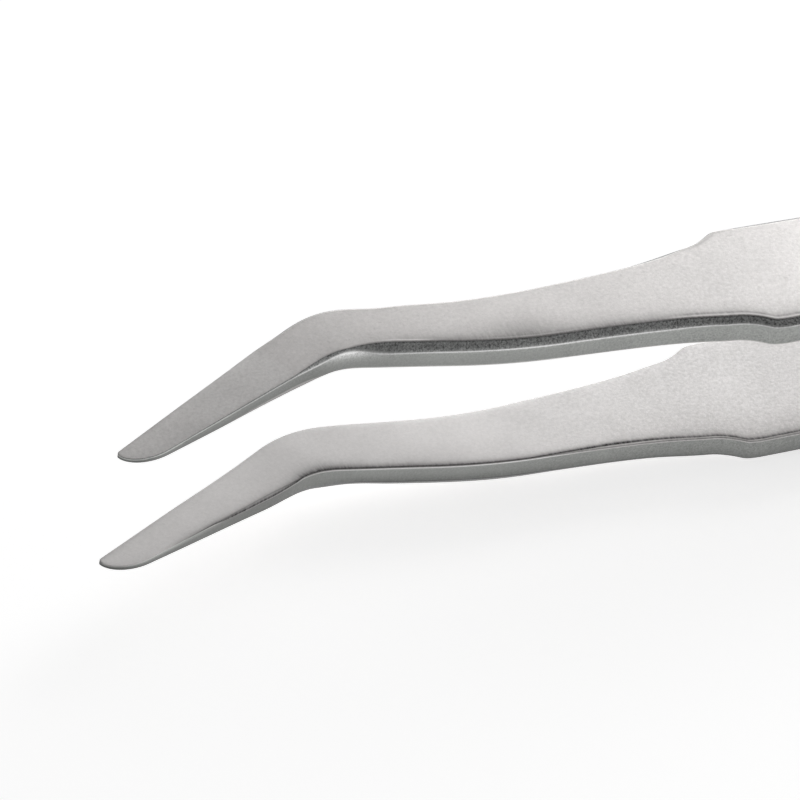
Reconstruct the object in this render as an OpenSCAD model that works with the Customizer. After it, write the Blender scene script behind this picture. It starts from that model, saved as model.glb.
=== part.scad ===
// Anti-static tweezers with flat, sideways-bent tips.
// Two mirrored spring-steel legs are welded face to face at the tail.
// The tips point along -X and bend towards -Y, and the legs open along Z.
// The tweezers lie on the table, on the belly of the lower leg and on the tail.

/* [Leg] */
// Length of each leg along its centre line
leg_length = 121; // [105:1:140]
// Thickness of the steel in the neck, the grip and the tail
leg_thickness = 1.6; // [1.2:0.1:2]
// Clear gap between the legs at the tips
tip_gap = 7.6; // [5:0.2:10]
// Length of the weld seam at the tail
weld_length = 13; // [8:1:20]
// Length over which each leg bends into the weld seam
root_bend_length = 8; // [4:1:12]

/* [Tip] */
// Width of the flat tip at its end, before the nose is cut
tip_width = 1.6; // [1.4:0.05:3]
// Distance from the tip's middle line to the point of the nose, on the bend's outer side
nose_offset = 0.6; // [0.3:0.05:0.65]
// Length over which the nose slants back on the bend's inner side
nose_length = 2.4; // [1:0.1:3]
// Length of the small corner on the other side of the nose
nose_corner = 0.25; // [0.15:0.05:0.4]
// Thickness left at the tip end after grinding
tip_thickness = 0.25; // [0.2:0.05:0.6]
// Length of the ground taper on the outer face
grind_length = 18; // [16:0.5:26]
// Length of the straight part of the tip
tip_length = 14.7; // [10:0.1:18]
// Angle of the tip to the long axis
tip_angle = 23.1; // [0:0.1:40]
// Radius of the sideways bend behind the tip
tip_bend_radius = 5.6; // [3:0.1:8]
// Width at the sideways bend
bend_width = 3.3; // [2.8:0.1:4.2]

/* [Neck] */
// Angle by which the neck leans away from the tip's side
neck_angle = 10.7; // [0:0.1:20]
// Length of the leaning part of the neck
neck_lean_length = 5.1; // [3:0.1:8]
// Radius of the bend from the leaning part to the long axis
neck_bend_radius = 35; // [16:1:44]
// Width of the neck where the flare starts
neck_width = 4.85; // [4.3:0.05:5.5]
// Extra width that the neck's own taper adds over the flare
neck_taper_gain = 1.55; // [0.6:0.05:2]
// Length of the flare between the neck and the grip
flare_length = 13; // [10:0.1:17]

/* [Grip] */
// Width of the grip
grip_width = 9; // [8:0.1:11]
// Length of the grip between the shoulder and the tail taper
grip_length = 42; // [32:1:48]
// Width of the tail end
tail_width = 5; // [4:0.1:7]

/* [Edges] */
// Height of the bevel where it is tallest, behind the bend
bevel_height = 0.5; // [0.3:0.02:0.6]
// Height of the bevel along the grip
grip_bevel_height = 0.36; // [0.2:0.02:0.6]
// Width of the bevel along the outer edges
bevel_width = 0.4; // [0.2:0.02:0.6]
// Distance from the tip end at which the bevel starts
bevel_start = 11.5; // [11:0.5:18]
// Length over which the bevel grows to its full size
bevel_runout = 7; // [6:0.5:12]
// Size of the small break on every other edge
edge_break = 0.05; // [0.03:0.01:0.1]

/* [Hidden] */
steel = [0.74, 0.73, 0.72];
degrees_per_radian = 57.29578;

// Distances along the centre line at which the outline changes
tip_bend_length = tip_bend_radius * (tip_angle + neck_angle) / degrees_per_radian;
lean_start = tip_length + tip_bend_length;
neck_bend_start = lean_start + neck_lean_length;
neck_bend_length = neck_bend_radius * neck_angle / degrees_per_radian;
flare_start = neck_bend_start + neck_bend_length;
shoulder = flare_start + flare_length;
taper_start = shoulder + grip_length;
shoulder_blend = 0.2;
taper_blend = 1.2;
flare_power = 4;
bevel_full = bevel_start + bevel_runout;
tail_round = tail_width / 2;

// Stations of the loft, closer together round the two ends
station_step = 1;
end_steps = 8;
end_angle_first = 10;
end_angle_step = (90 - end_angle_first) / end_steps;
middle_length = leg_length - nose_length - tail_round;
middle_steps = ceil(middle_length / station_step);

function clamp01(v) = min(1, max(0, v));
function ramp(v, start, span) = clamp01((v - start) / span);
function lerp(a, b, t) = a + (b - a) * t;
function soft_min(a, b, k) =
    let (q = max(0, k - abs(a - b)) / k)
    min(a, b) - q * q * k / 4;

tip_stations = [
    for (i = [0:end_steps])
        nose_length * (1 - cos(end_angle_first + i * end_angle_step))
];
middle_stations = [
    for (i = [1:middle_steps])
        nose_length + i * middle_length / middle_steps
];
tail_stations = [
    for (i = [end_steps - 1:-1:0])
        leg_length - tail_round * (1 - cos(end_angle_first + i * end_angle_step))
];
stations = concat(tip_stations, middle_stations, tail_stations);
last = len(stations) - 1;

// Heading of the centre line, from the tip towards the tail
function heading(s) =
    tip_angle
    - (tip_angle + neck_angle) * ramp(s, tip_length, tip_bend_length)
    + neck_angle * ramp(s, neck_bend_start, neck_bend_length);

// Centre line from the tip end, before it is moved onto the long axis
path = [
    for (i = 0, p = stations[0] * [cos(heading(0)), sin(heading(0))];
         i <= last;
         ds = stations[min(i + 1, last)] - stations[i],
         turn = heading((stations[min(i + 1, last)] + stations[i]) / 2),
         p = p + ds * [cos(turn), sin(turn)],
         i = i + 1) p
];
side_shift = path[last].y;
overall_x = path[last].x;
function centre(i) = [path[i].x, path[i].y - side_shift];

// Half width of the outline before its ends are shaped
function neck_half(s) =
    s < tip_length
        ? lerp(tip_width, bend_width, s / tip_length) / 2
        : lerp(bend_width, neck_width, ramp(s, tip_length, flare_start - tip_length)) / 2;
function flare_half(s) =
    let (u = max(0, s - flare_start) / flare_length,
         rise = (grip_width - neck_width - neck_taper_gain) / 2)
    u * neck_taper_gain / 2 + rise * pow(u, flare_power);
function taper_half(s) =
    lerp(grip_width, tail_width, (s - taper_start) / (leg_length - taper_start)) / 2;
function body_half(s) =
    let (front = soft_min(neck_half(s) + flare_half(s), grip_width / 2, shoulder_blend))
    soft_min(front, taper_half(s), taper_blend);

// Factor that closes the outline with a quarter of an ellipse
function round_factor(d, r) = d >= r ? 1 : sqrt(max(0, 1 - pow(1 - d / r, 2)));

// Offset of the outline from the centre line: side 1 is the bend's outer side, -1 its inner
function offset_at(s, side) =
    let (half = body_half(s) * round_factor(leg_length - s, tail_round))
    side > 0
        ? lerp(nose_offset, half, round_factor(s, nose_corner))
        : lerp(nose_offset, -half, round_factor(s, nose_length));

// Side view: how steeply the inner face closes towards the tail
toe_slope = 0.0045;
curve_start = 42;
curve_end = 60;
weld_start = overall_x - weld_length;
root_start = weld_start - root_bend_length;
toe_drop = toe_slope * (curve_start + curve_end) / 2;
lever = root_start - (curve_start + curve_end) / 2 + root_bend_length / 2;
spread_slope = (tip_gap / 2 - toe_drop) / lever;

// Area under a straight ramp from one slope to the next
function ramp_area(x, x0, x1, m0, m1) =
    let (u = clamp01((x - x0) / (x1 - x0)))
    (x1 - x0) * (m0 * u + (m1 - m0) * u * u / 2);
function drop(x) =
    toe_slope * min(x, curve_start)
    + ramp_area(x, curve_start, curve_end, toe_slope, spread_slope)
    + ramp_area(x, curve_end, root_start, spread_slope, spread_slope)
    + ramp_area(x, root_start, weld_start, spread_slope, 0);
function inner_z(x) = tip_gap / 2 - drop(x);

// Thickness along the ground taper, which runs out softly into the full thickness
grind_blend = 0.35;
function thickness(s) =
    soft_min(lerp(tip_thickness, leg_thickness, s / grind_length), leg_thickness, grind_blend);

// Outline point, its outward direction and the point moved inwards
function across(i) = [-sin(heading(stations[i])), cos(heading(stations[i]))];
function edge_point(i, side) = centre(i) + offset_at(stations[i], side) * across(i);
function outward(i, side) =
    let (before = i == 0 ? edge_point(0, -side) : edge_point(i - 1, side),
         after = i == last ? edge_point(last, -side) : edge_point(i + 1, side),
         d = after - before)
    side * [-d.y, d.x] / norm(d);
function inset(i, side, d) = edge_point(i, side) - d * outward(i, side);

// Eight corners of one section, from the inner face to the outer face
function section(i) =
    let (s = stations[i],
         t = thickness(s),
         b = min(edge_break, t / 5),
         grown = ramp(s, bevel_start, bevel_runout),
         tall = lerp(bevel_height, grip_bevel_height, ramp(s, bevel_full, shoulder - bevel_full)),
         bevel_h = lerp(b, tall, grown),
         bevel_w = lerp(b, bevel_width, grown),
         flat = [for (side = [-1, 1]) inset(i, side, b)],
         rim = [for (side = [-1, 1]) edge_point(i, side)],
         top = [for (side = [-1, 1]) inset(i, side, bevel_w)])
    [
        [flat[0].x, flat[0].y, inner_z(flat[0].x)],
        [flat[1].x, flat[1].y, inner_z(flat[1].x)],
        [rim[1].x, rim[1].y, inner_z(rim[1].x) + b],
        [rim[1].x, rim[1].y, inner_z(rim[1].x) + t - bevel_h],
        [top[1].x, top[1].y, inner_z(top[1].x) + t],
        [top[0].x, top[0].y, inner_z(top[0].x) + t],
        [rim[0].x, rim[0].y, inner_z(rim[0].x) + t - bevel_h],
        [rim[0].x, rim[0].y, inner_z(rim[0].x) + b]
    ];
corners = 8;
leg_points = [for (i = [0:last]) each section(i)];
leg_faces = concat(
    [[for (k = [0:corners - 1]) k]],
    [
        for (i = [0:last - 1], k = [0:corners - 1])
            let (a = i * corners + k,
                 b = i * corners + (k + 1) % corners)
            each [[a, a + corners, b], [b, a + corners, b + corners]]
    ],
    [[for (k = [corners - 1:-1:0]) last * corners + k]]
);

// Pitch of the tweezers at rest: the line from the tail's lower edge to the belly
belly_slopes = [
    for (i = [0:last])
        if (path[i].x < root_start)
            (inner_z(path[i].x) + thickness(stations[i]) - leg_thickness)
            / (overall_x - path[i].x)
];
pitch = atan(max(belly_slopes));
function posed(p) = [
    p.x * cos(pitch) + p.z * sin(pitch),
    p.y,
    p.z * cos(pitch) - p.x * sin(pitch)
];
all_points = [
    for (p = leg_points, side = [-1, 1]) posed([p.x, p.y, side * p.z])
];
low = [for (axis = [0:2]) min([for (p = all_points) p[axis]])];
high = [for (axis = [0:2]) max([for (p = all_points) p[axis]])];
origin = [(low.x + high.x) / 2, (low.y + high.y) / 2, low.z];

module leg() {
    polyhedron(points = leg_points, faces = leg_faces, convexity = 4);
}

module rest_pose() {
    translate(-origin) rotate([0, pitch, 0]) children();
}

module upper_leg() {
    color(steel) rest_pose() leg();
}

module lower_leg() {
    color(steel) rest_pose() mirror([0, 0, 1]) leg();
}

upper_leg();
lower_leg();
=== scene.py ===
"""Looks, light and camera for the fine steel tweezers with sideways-bent tips.

Each leg is one closed surface: a section profile carried along the leg's centre
line.  Lengths in the classes are millimetres and angles are degrees, and a mesh
is brought to metres when it is written.
"""
import logging
from dataclasses import dataclass, field, replace
from enum import Enum
from typing import Any, ClassVar, Sequence, Union

import bpy
import numpy as np
from mathutils import Matrix, Vector


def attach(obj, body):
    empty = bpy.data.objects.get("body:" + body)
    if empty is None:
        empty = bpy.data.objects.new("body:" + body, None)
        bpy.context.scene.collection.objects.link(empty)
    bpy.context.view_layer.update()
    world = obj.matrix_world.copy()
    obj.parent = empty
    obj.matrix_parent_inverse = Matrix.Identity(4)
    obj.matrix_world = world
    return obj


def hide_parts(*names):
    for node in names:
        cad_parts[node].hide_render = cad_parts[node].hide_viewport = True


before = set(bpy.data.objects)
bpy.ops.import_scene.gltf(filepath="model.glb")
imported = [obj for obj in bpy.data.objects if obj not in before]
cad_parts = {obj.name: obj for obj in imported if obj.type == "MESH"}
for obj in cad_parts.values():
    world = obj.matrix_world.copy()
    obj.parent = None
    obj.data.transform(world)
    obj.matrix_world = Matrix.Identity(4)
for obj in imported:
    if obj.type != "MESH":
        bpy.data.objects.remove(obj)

Array = np.ndarray
Colour = tuple[float, float, float]

LOG = logging.getLogger("tweezers")
MM = 0.001
WHITE = (1.0, 1.0, 1.0, 1.0)
# Distance over which a tone gives way at a face's border, in millimetres
FACE_FADE = 0.04
# Distance that stands for a point on another part of the section
NOWHERE = -9.0


class Leg(Enum):
    """The two legs, by the side of the middle plane on which they lie."""

    UPPER = 1
    LOWER = -1


class Tree(Enum):
    """What a node tree belongs to, as the list that it joins and its output node."""

    MATERIAL = ("materials", "ShaderNodeOutputMaterial")
    WORLD = ("worlds", "ShaderNodeOutputWorld")


class Band(Enum):
    """The strips of a leg's skin, each with its own finish."""

    OUTER_FACE = 0
    BEVEL = 1
    CORNER = 2
    EDGE = 3
    INNER_FACE = 4


def ramp(value: Array, start: float, span: float) -> Array:
    """Straight ramp from 0 at start to 1 at start + span, held outside."""
    return np.clip((value - start) / span, 0.0, 1.0)


def smooth_ramp(value: Array, start: float, span: float) -> Array:
    """Ramp with soft ends: 3 r squared minus 2 r cubed of the straight ramp r."""
    r = ramp(value, start, span)
    return r * r * (3.0 - 2.0 * r)


def eased_ramp(value: Array, start: float, span: float, ease: float) -> Array:
    """Straight ramp averaged over an ease before and after each position.

    Formula: the area under the straight ramp up to the later position less the
    area up to the earlier one, over the length between them.

    Args:
        value: positions to read the ramp at.
        start: where the straight ramp leaves 0.
        span: length of the straight ramp.
        ease: distance averaged over on each side.

    Returns:
        The ramp's height at each position.
    """
    def area(v: Array) -> Array:
        """Area under the straight ramp up to v."""
        return ramp(v, start, span) ** 2 * span / 2.0 + np.maximum(0.0, v - start - span)

    return (area(value + ease) - area(value - ease)) / (2.0 * ease)


def soft_min(a: Array, b: Array, blend: float) -> Array:
    """Minimum less q squared times blend / 4, with q 1 at the crossing and 0 a blend apart."""
    q = np.maximum(0.0, blend - np.abs(a - b)) / blend
    return np.minimum(a, b) - q * q * blend / 4.0


def bell(value: Array, middle: float, reach: float) -> Array:
    """Bell curve: the exponential of minus the squared distance over the reach."""
    return np.exp(-((value - middle) / reach) ** 2)


def fade(distance: Array, reach: float) -> Array:
    """1 up to a distance of 0, then the exponential of minus the distance over the reach."""
    return np.exp(-np.maximum(0.0, distance) / reach)


def skirt(distance: Array, reach: float) -> Array:
    """Half a bell curve below a distance of 0, and 1 above it."""
    return bell(np.minimum(0.0, distance), 0.0, reach)


@dataclass(frozen=True)
class Climb:
    """Straight rise from 0 to 1."""

    start: float
    span: float

    def at(self, value: Array) -> Array:
        """Height of the rise at each position."""
        return ramp(value, self.start, self.span)

    def left(self, value: Array) -> Array:
        """What the rise has left to go at each position."""
        return 1.0 - self.at(value)


@dataclass(frozen=True)
class SoftClimb(Climb):
    """Rise from 0 to 1 with soft ends."""

    def at(self, value: Array) -> Array:
        """Height of the rise at each position."""
        return smooth_ramp(value, self.start, self.span)


@dataclass(frozen=True)
class Hump:
    """Bell curve of height 1."""

    middle: float
    reach: float

    def at(self, value: Array) -> Array:
        """Height of the curve at each position."""
        return bell(value, self.middle, self.reach)


@dataclass(frozen=True)
class Course:
    """Value that changes along the leg: a level plus amounts of rises and bell curves."""

    level: float
    changes: tuple[tuple[float, Union[Climb, Hump]], ...]

    def at(self, value: Array) -> Array:
        """The value at each position."""
        return self.level + sum(amount * shape.at(value) for amount, shape in self.changes)


@dataclass(frozen=True)
class Outline:
    """Plan outline of a leg, in millimetres along its centre line."""

    length: float = 120.957
    tip_width: float = 1.6
    nose_offset: float = 0.6
    nose_length: float = 2.4
    nose_corner: float = 0.25
    tip_length: float = 14.7
    tip_angle: float = 23.1
    tip_bend_radius: float = 5.6
    bend_width: float = 3.3
    neck_angle: float = 10.7
    lean_length: float = 5.1
    neck_bend_radius: float = 35.0
    neck_width: float = 4.85
    neck_gain: float = 1.55
    flare_length: float = 13.0
    flare_power: float = 4.0
    grip_width: float = 9.0
    grip_length: float = 42.0
    tail_width: float = 5.0
    shoulder_blend: float = 0.2
    taper_blend: float = 1.2
    bend_ease: float = 0.9
    crease: float = 0.12
    crease_peak: Hump = Hump(-0.45, 0.5)
    crease_dip: Hump = Hump(-2.0, 0.9)
    swell: float = 0.10
    swell_place: Hump = Hump(3.3, 3.5)

    @property
    def bend_span(self) -> float:
        """Arc length of the bend behind the tip."""
        return self.tip_bend_radius * np.radians(self.tip_angle + self.neck_angle)

    @property
    def lean_end(self) -> float:
        """Distance at which the leaning neck starts to turn onto the long axis."""
        return self.tip_length + self.bend_span + self.lean_length

    @property
    def flare_start(self) -> float:
        """Distance at which the flare starts."""
        return self.lean_end + self.neck_bend_radius * np.radians(self.neck_angle)

    @property
    def shoulder(self) -> float:
        """Distance at which the outline reaches the grip."""
        return self.flare_start + self.flare_length

    def heading(self, s: Array) -> Array:
        """Direction of the centre line, in radians from +X.

        Formula: the tip's angle, less an eased ramp over the bend, plus a ramp
        over the neck's bend, so both bends are arcs and the first runs in softly.

        Args:
            s: distances from the tip end.

        Returns:
            The heading at each distance.
        """
        first = (self.tip_angle + self.neck_angle) * eased_ramp(
            s, self.tip_length, self.bend_span, self.bend_ease)
        back = self.neck_angle * ramp(s, self.lean_end, self.flare_start - self.lean_end)
        return np.radians(self.tip_angle - first + back)

    def half_width(self, s: Array) -> Array:
        """Half width across the centre line before the ends are shaped.

        Formula: a straight taper from the tip to the neck, plus a power curve for
        the flare, cut by the grip's width and by the tail's taper with soft corners;
        small bell curves, one placed from the bend's start and two from the shoulder,
        swell the bend and make the step at the shoulder crisp.

        Args:
            s: distances from the tip end.

        Returns:
            The half width at each distance.
        """
        front = self.tip_width + (self.bend_width - self.tip_width) * s / self.tip_length
        neck = self.bend_width + (self.neck_width - self.bend_width) * ramp(
            s, self.tip_length, self.flare_start - self.tip_length)
        shank = np.where(s < self.tip_length, front, neck) / 2.0
        u = np.maximum(0.0, s - self.flare_start) / self.flare_length
        rise = (self.grip_width - self.neck_width - self.neck_gain) / 2.0
        flare = u * self.neck_gain / 2.0 + rise * u ** self.flare_power
        taper_start = self.shoulder + self.grip_length
        taper = (self.grip_width + (self.tail_width - self.grip_width)
                 * (s - taper_start) / (self.length - taper_start)) / 2.0
        past = s - self.shoulder
        crease = self.crease * (self.crease_peak.at(past) - self.crease_dip.at(past))
        shank = shank + self.swell * self.swell_place.at(s - self.tip_length)
        body = soft_min(shank + flare + crease, np.full_like(s, self.grip_width / 2.0),
                        self.shoulder_blend)
        return soft_min(body, taper, self.taper_blend)

    def offsets(self, s: Array) -> Array:
        """Offsets of the two sides from the centre line, -Y side first.

        Formula: both sides start from the nose's point and open to plus and minus
        the half width, over a quarter of an ellipse that is short on the bend's
        outer side and long on its inner side; a quarter circle closes the tail.

        Args:
            s: distances from the tip end.

        Returns:
            The offsets, of shape (2, stations).
        """
        half = self.half_width(s) * self.closing(self.length - s, self.tail_width / 2.0)
        slant = self.closing(s, self.nose_length)
        corner = self.closing(s, self.nose_corner)
        return np.stack([self.nose_offset - (self.nose_offset + half) * slant,
                         self.nose_offset + (half - self.nose_offset) * corner])

    @staticmethod
    def closing(distance: Array, reach: float) -> Array:
        """Quarter of an ellipse: the square root of 1 - (1 - distance / reach) squared."""
        left = 1.0 - np.clip(distance, 0.0, reach) / reach
        return np.sqrt(1.0 - left ** 2)


@dataclass(frozen=True)
class SideView:
    """Side view of a leg: how far it stands off the middle plane, and its thickness."""

    tip_gap: float = 7.6
    thickness: float = 1.6
    tip_thickness: float = 0.25
    grind_length: float = 18.0
    grind_blend: float = 0.35
    toe_slope: float = 0.0045
    curve_start: float = 42.0
    curve_end: float = 60.0
    weld_length: float = 13.0
    root_length: float = 8.0

    def inner(self, x: Array, overall: float) -> Array:
        """Height of the inner face above the middle plane.

        Formula: half the tip gap, less the area under a slope that is constant in
        front, ramps up behind the shoulder, stays, and ramps to nothing at the weld.

        Args:
            x: positions along the long axis from the tip end.
            overall: position of the tail end.

        Returns:
            The height at each position.
        """
        weld = overall - self.weld_length
        root = weld - self.root_length
        middle = (self.curve_start + self.curve_end) / 2.0
        spread = (self.tip_gap / 2.0 - self.toe_slope * middle) / (
            root - middle + self.root_length / 2.0)

        def area(x0: float, x1: float, m0: float, m1: float) -> Array:
            """Area under a slope that goes from m0 at x0 to m1 at x1."""
            u = ramp(x, x0, x1 - x0)
            return (x1 - x0) * (m0 * u + (m1 - m0) * u * u / 2.0)

        drop = (self.toe_slope * np.minimum(x, self.curve_start)
                + area(self.curve_start, self.curve_end, self.toe_slope, spread)
                + area(self.curve_end, root, spread, spread)
                + area(root, weld, spread, 0.0))
        return self.tip_gap / 2.0 - drop

    def steel(self, s: Array) -> Array:
        """Thickness: the rounded minimum of a straight ramp from the tip and the full one."""
        taper = self.tip_thickness + (self.thickness - self.tip_thickness) * s / self.grind_length
        return soft_min(taper, np.full_like(s, self.thickness), self.grind_blend)


@dataclass(frozen=True)
class EdgeWork:
    """Bevels, rounded corners and the soft roll of the faces, in millimetres."""

    bevel_height: float = 0.50
    bevel_width: float = 0.40
    bevel_full: float = 18.5
    grip_bevel_height: float = 0.36
    grip_ease: float = 0.09
    grip_ease_start: Climb = Climb(36.0, 2.5)
    grip_ease_end: Climb = Climb(60.0, 20.0)
    height_course: Course = Course(0.0, ((0.42, SoftClimb(11.5, 3.0)), (0.58, SoftClimb(17.1, 2.4)),
                                         (-0.17, Hump(16.4, 1.0))))
    width_course: Course = Course(0.0, ((0.42, SoftClimb(11.5, 3.0)), (0.58, SoftClimb(16.3, 2.6)),
                                        (0.20, Hump(19.6, 1.1)), (-0.18, Hump(27.5, 3.0))))
    edge_break: float = 0.05
    break_share: float = 0.2
    sharp_loss: float = 0.65
    sharp_end: SoftClimb = SoftClimb(4.0, 6.0)
    round_share: float = 0.3
    corner_round: float = 0.06
    bend_round: float = 0.24
    bend_climb: float = 0.60
    bend_place: Hump = Hump(16.8, 2.1)
    top_round: float = 0.10
    inner_round: float = 0.09
    thin_round: float = 0.06
    thin_end: SoftClimb = SoftClimb(4.5, 6.0)
    tip_end: SoftClimb = SoftClimb(11.5, 4.2)
    tip_roll: float = 0.28
    tip_edge: float = 0.80
    tip_spread: float = 0.12
    spread_share: float = 0.6
    far_slim: float = 0.52
    far_place: Hump = Hump(41.3, 2.0)
    roll_depth: float = 0.030
    roll_reach: float = 0.22

    def bevel(self, s: Array, thickness: Array, shoulder: float) -> tuple[Array, Array]:
        """Height and width of the bevel.

        Formula: both grow from the small edge break, which is sharper at the thin
        end, along a course of two soft ramps that small bell curves dip and swell;
        the full height falls in a straight ramp up to the shoulder and eases a
        little along the grip.

        Args:
            s: distances from the tip end.
            thickness: the steel's thickness there.
            shoulder: distance at which the grip starts.

        Returns:
            The heights and the widths.
        """
        small = np.minimum(self.edge_break, self.break_share * thickness)
        small = small * (1.0 - self.sharp_loss * self.sharp_end.left(s))
        tall = self.bevel_height + (self.grip_bevel_height - self.bevel_height) * ramp(
            s, self.bevel_full, shoulder - self.bevel_full)
        tall = tall - self.grip_ease * self.grip_ease_start.at(s) * self.grip_ease_end.left(s)
        return (small + (tall - small) * self.height_course.at(s),
                small + (self.bevel_width - small) * self.width_course.at(s))

    def inset_scale(self, s: Array) -> Array:
        """Factor on distances inwards: 1 on side -Y, and one minus a bell curve on side +Y."""
        far = 1.0 - self.far_slim * self.far_place.at(s)
        return np.stack([np.ones_like(s), far])[:, :, None]

    def corner(self, s: Array, slope: Array) -> tuple[Array, Array]:
        """Rounding between bevel and edge, larger inside the bend.

        Formula: the plain rounding, and in a bell curve about the bend an added
        rounding down the edge and a share of the bevel's own width up the bevel.

        Args:
            s: distances from the tip end.
            slope: width of the bevel, measured on its own face.

        Returns:
            The rounding down the edge and up the bevel at each distance.
        """
        inside = self.bend_place.at(s)
        plain = np.minimum(self.corner_round, self.round_share * slope)
        return (plain + self.bend_round * inside,
                plain + (self.bend_climb * slope - plain) * inside)

    def tip_share(self, s: Array) -> Array:
        """1 along the tip, falling smoothly to 0 inside the bend."""
        return self.tip_end.left(s)

    def inner_corner(self, s: Array, thickness: Array) -> tuple[Array, Array]:
        """Rounding between edge and inner face, larger along the tip.

        Formula: down the edge a share of the thickness, or all but an even height
        of edge where that is more, and inwards a fixed length; both times the
        tip's share less that of its thin end, and neither below the plain rounding,
        which is smaller there.

        Args:
            s: distances from the tip end.
            thickness: the steel's thickness there.

        Returns:
            The rounding down the edge and inwards on the face at each distance.
        """
        thin = self.thin_end.left(s)
        tip = self.tip_share(s) * (1.0 - thin)
        plain = np.minimum(self.inner_round - self.thin_round * thin, self.round_share * thickness)
        spread = np.minimum(self.tip_spread, self.spread_share * thickness)
        drop = np.maximum(self.tip_roll * thickness, thickness - self.tip_edge)
        return np.maximum(plain, drop * tip), np.maximum(plain, spread * tip)


@dataclass(frozen=True)
class Spots:
    """Where the points of the skin lie in their sections, in millimetres.

    Attributes:
        s: distance from the tip end, along the leg.
        near: distance in plan from the near rim.
        far: distance in plan from the far rim.
        height: distance above the inner face.
        depth: distance below the outer face.
        tall: height of the bevel.
        wide: width of the bevel.
        drop: how far the inner corner's rounding comes down the edge.
        tip: 1 along the tip and 0 behind the bend.
    """

    s: Array
    near: Array
    far: Array
    height: Array
    depth: Array
    tall: Array
    wide: Array
    drop: Array
    tip: Array

    @property
    def on_edge(self) -> Array:
        """1 on the two edges, falling to 0 within a few hundredths inwards."""
        return bell(np.minimum(self.near, self.far), 0.0, FACE_FADE)

    @property
    def on_outer(self) -> Array:
        """1 on the outer face, falling to 0 within a few hundredths down the bevel."""
        return bell(self.depth, 0.0, FACE_FADE)

    @property
    def fold(self) -> Array:
        """Distance from the inner near corner, inwards above 0 and down the edge below."""
        return np.where(self.height < self.depth, self.near - self.height, NOWHERE)

    def fall(self, leg: Leg) -> Array:
        """Share of the edge's height passed on the way down from its upper line.

        Args:
            leg: which leg, as the lower leg lies with its inner face up.

        Returns:
            0 at the upper line and 1 at the lower one.
        """
        run = self.height + self.depth - self.tall
        passed = self.depth - self.tall if leg is Leg.UPPER else self.height
        return np.clip(passed / run, 0.0, 1.0)


@dataclass(frozen=True)
class OuterTone:
    """Outer face: painted shade where it rolls off along the bevel, a painted highlight along a burr
    with a thin darker line beside it, a darker patch, and painted shade along the tip.
    """

    roll: float = 0.80
    roll_reach: float = 0.47
    roll_climb: Climb = Climb(16.8, 5.5)
    roll_limit: Course = Course(0.60, ((0.10, Climb(35.0, 2.0)),))
    smudge: float = 0.26
    smudge_along: Hump = Hump(27.2, 2.4)
    smudge_across: Hump = Hump(0.7, 1.1)
    burr_highlight: float = 0.80
    burr_across: Hump = Hump(0.17, 0.06)
    burr_bend: Hump = Hump(21.0, 1.6)
    burr_neck: Hump = Hump(27.5, 3.0)
    burr_neck_share: float = 0.7
    burr_grip: Climb = Climb(35.5, 1.5)
    thin_dark_line: float = 0.22
    thin_dark_line_across: Hump = Hump(0.36, 0.07)
    thin_dark_line_climb: Climb = Climb(36.0, 1.5)
    line: float = 0.16
    line_reach: float = 0.10
    line_climb: Climb = Climb(4.0, 5.0)
    line_fall: Climb = Climb(17.0, 3.0)
    shade: float = 0.09
    shade_reach: float = 0.9
    shade_fall: Climb = Climb(5.0, 5.0)

    def tone(self, at: Spots) -> Array:
        """Factor on the steel's colour, 1 away from the outer face.

        Formula: one minus a strength times the exponential of minus the distance
        from the bevel over a reach, painted shade where the face rolls off, and
        minus a darker patch that is a bell curve both ways; a thin painted highlight
        lies along the burr by the bevel in places with a thin darker line beside it
        on the grip, and a painted dark line and a wide weak painted shade lie along the tip.

        Args:
            at: where the points lie.

        Returns:
            The factor at each point.
        """
        s, inwards = at.s, np.maximum(0.0, at.near - at.wide)
        # Painted shade where the face rolls off towards the bevel
        roll = self.roll * self.roll_climb.at(s) * fade(inwards, self.roll_reach)
        roll = np.minimum(roll, self.roll_limit.at(s))
        smudge = self.smudge * self.smudge_along.at(s) * self.smudge_across.at(inwards)
        # Painted highlight along the burr, less a thin darker line beside it on the grip
        places = np.maximum(self.burr_bend.at(s), self.burr_grip.at(s))
        places = np.maximum(places, self.burr_neck_share * self.burr_neck.at(s))
        burr_highlight = 1.0 + self.burr_highlight * places * self.burr_across.at(inwards)
        burr_highlight = burr_highlight - self.thin_dark_line * self.thin_dark_line_climb.at(s) * self.thin_dark_line_across.at(inwards)
        # Painted dark line and wide weak painted shade along the tip
        line = self.line_climb.at(s) * self.line_fall.left(s) * fade(inwards, self.line_reach)
        shade = self.shade_fall.left(s) * fade(inwards, self.shade_reach)
        dark = self.line * line + self.shade * shade
        factor = (1.0 - roll) * (1.0 - smudge) * (1.0 - dark) * burr_highlight
        return 1.0 + (factor - 1.0) * at.on_outer


@dataclass(frozen=True)
class Fold:
    """Near border of the inner face, on the scale of Spots.fold.

    It lies a little inwards behind the neck and, along the lower leg's tip, a fixed
    share of the corner's rounding down the edge.
    """

    tip_share: float = 0.72
    tip_climb: SoftClimb = SoftClimb(0.09, 0.08)
    inwards: Course = Course(0.0, ((0.16, Climb(29.0, 5.0)), (-0.04, Climb(36.0, 3.0))))

    def past(self, leg: Leg, at: Spots) -> Array:
        """Distance inwards past the border, below 0 on the edge's side of it."""
        drop = self.tip_share * at.drop * self.tip_climb.at(at.drop)
        return at.fold - self.inwards.at(at.s) + drop * (leg is Leg.LOWER)


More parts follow.
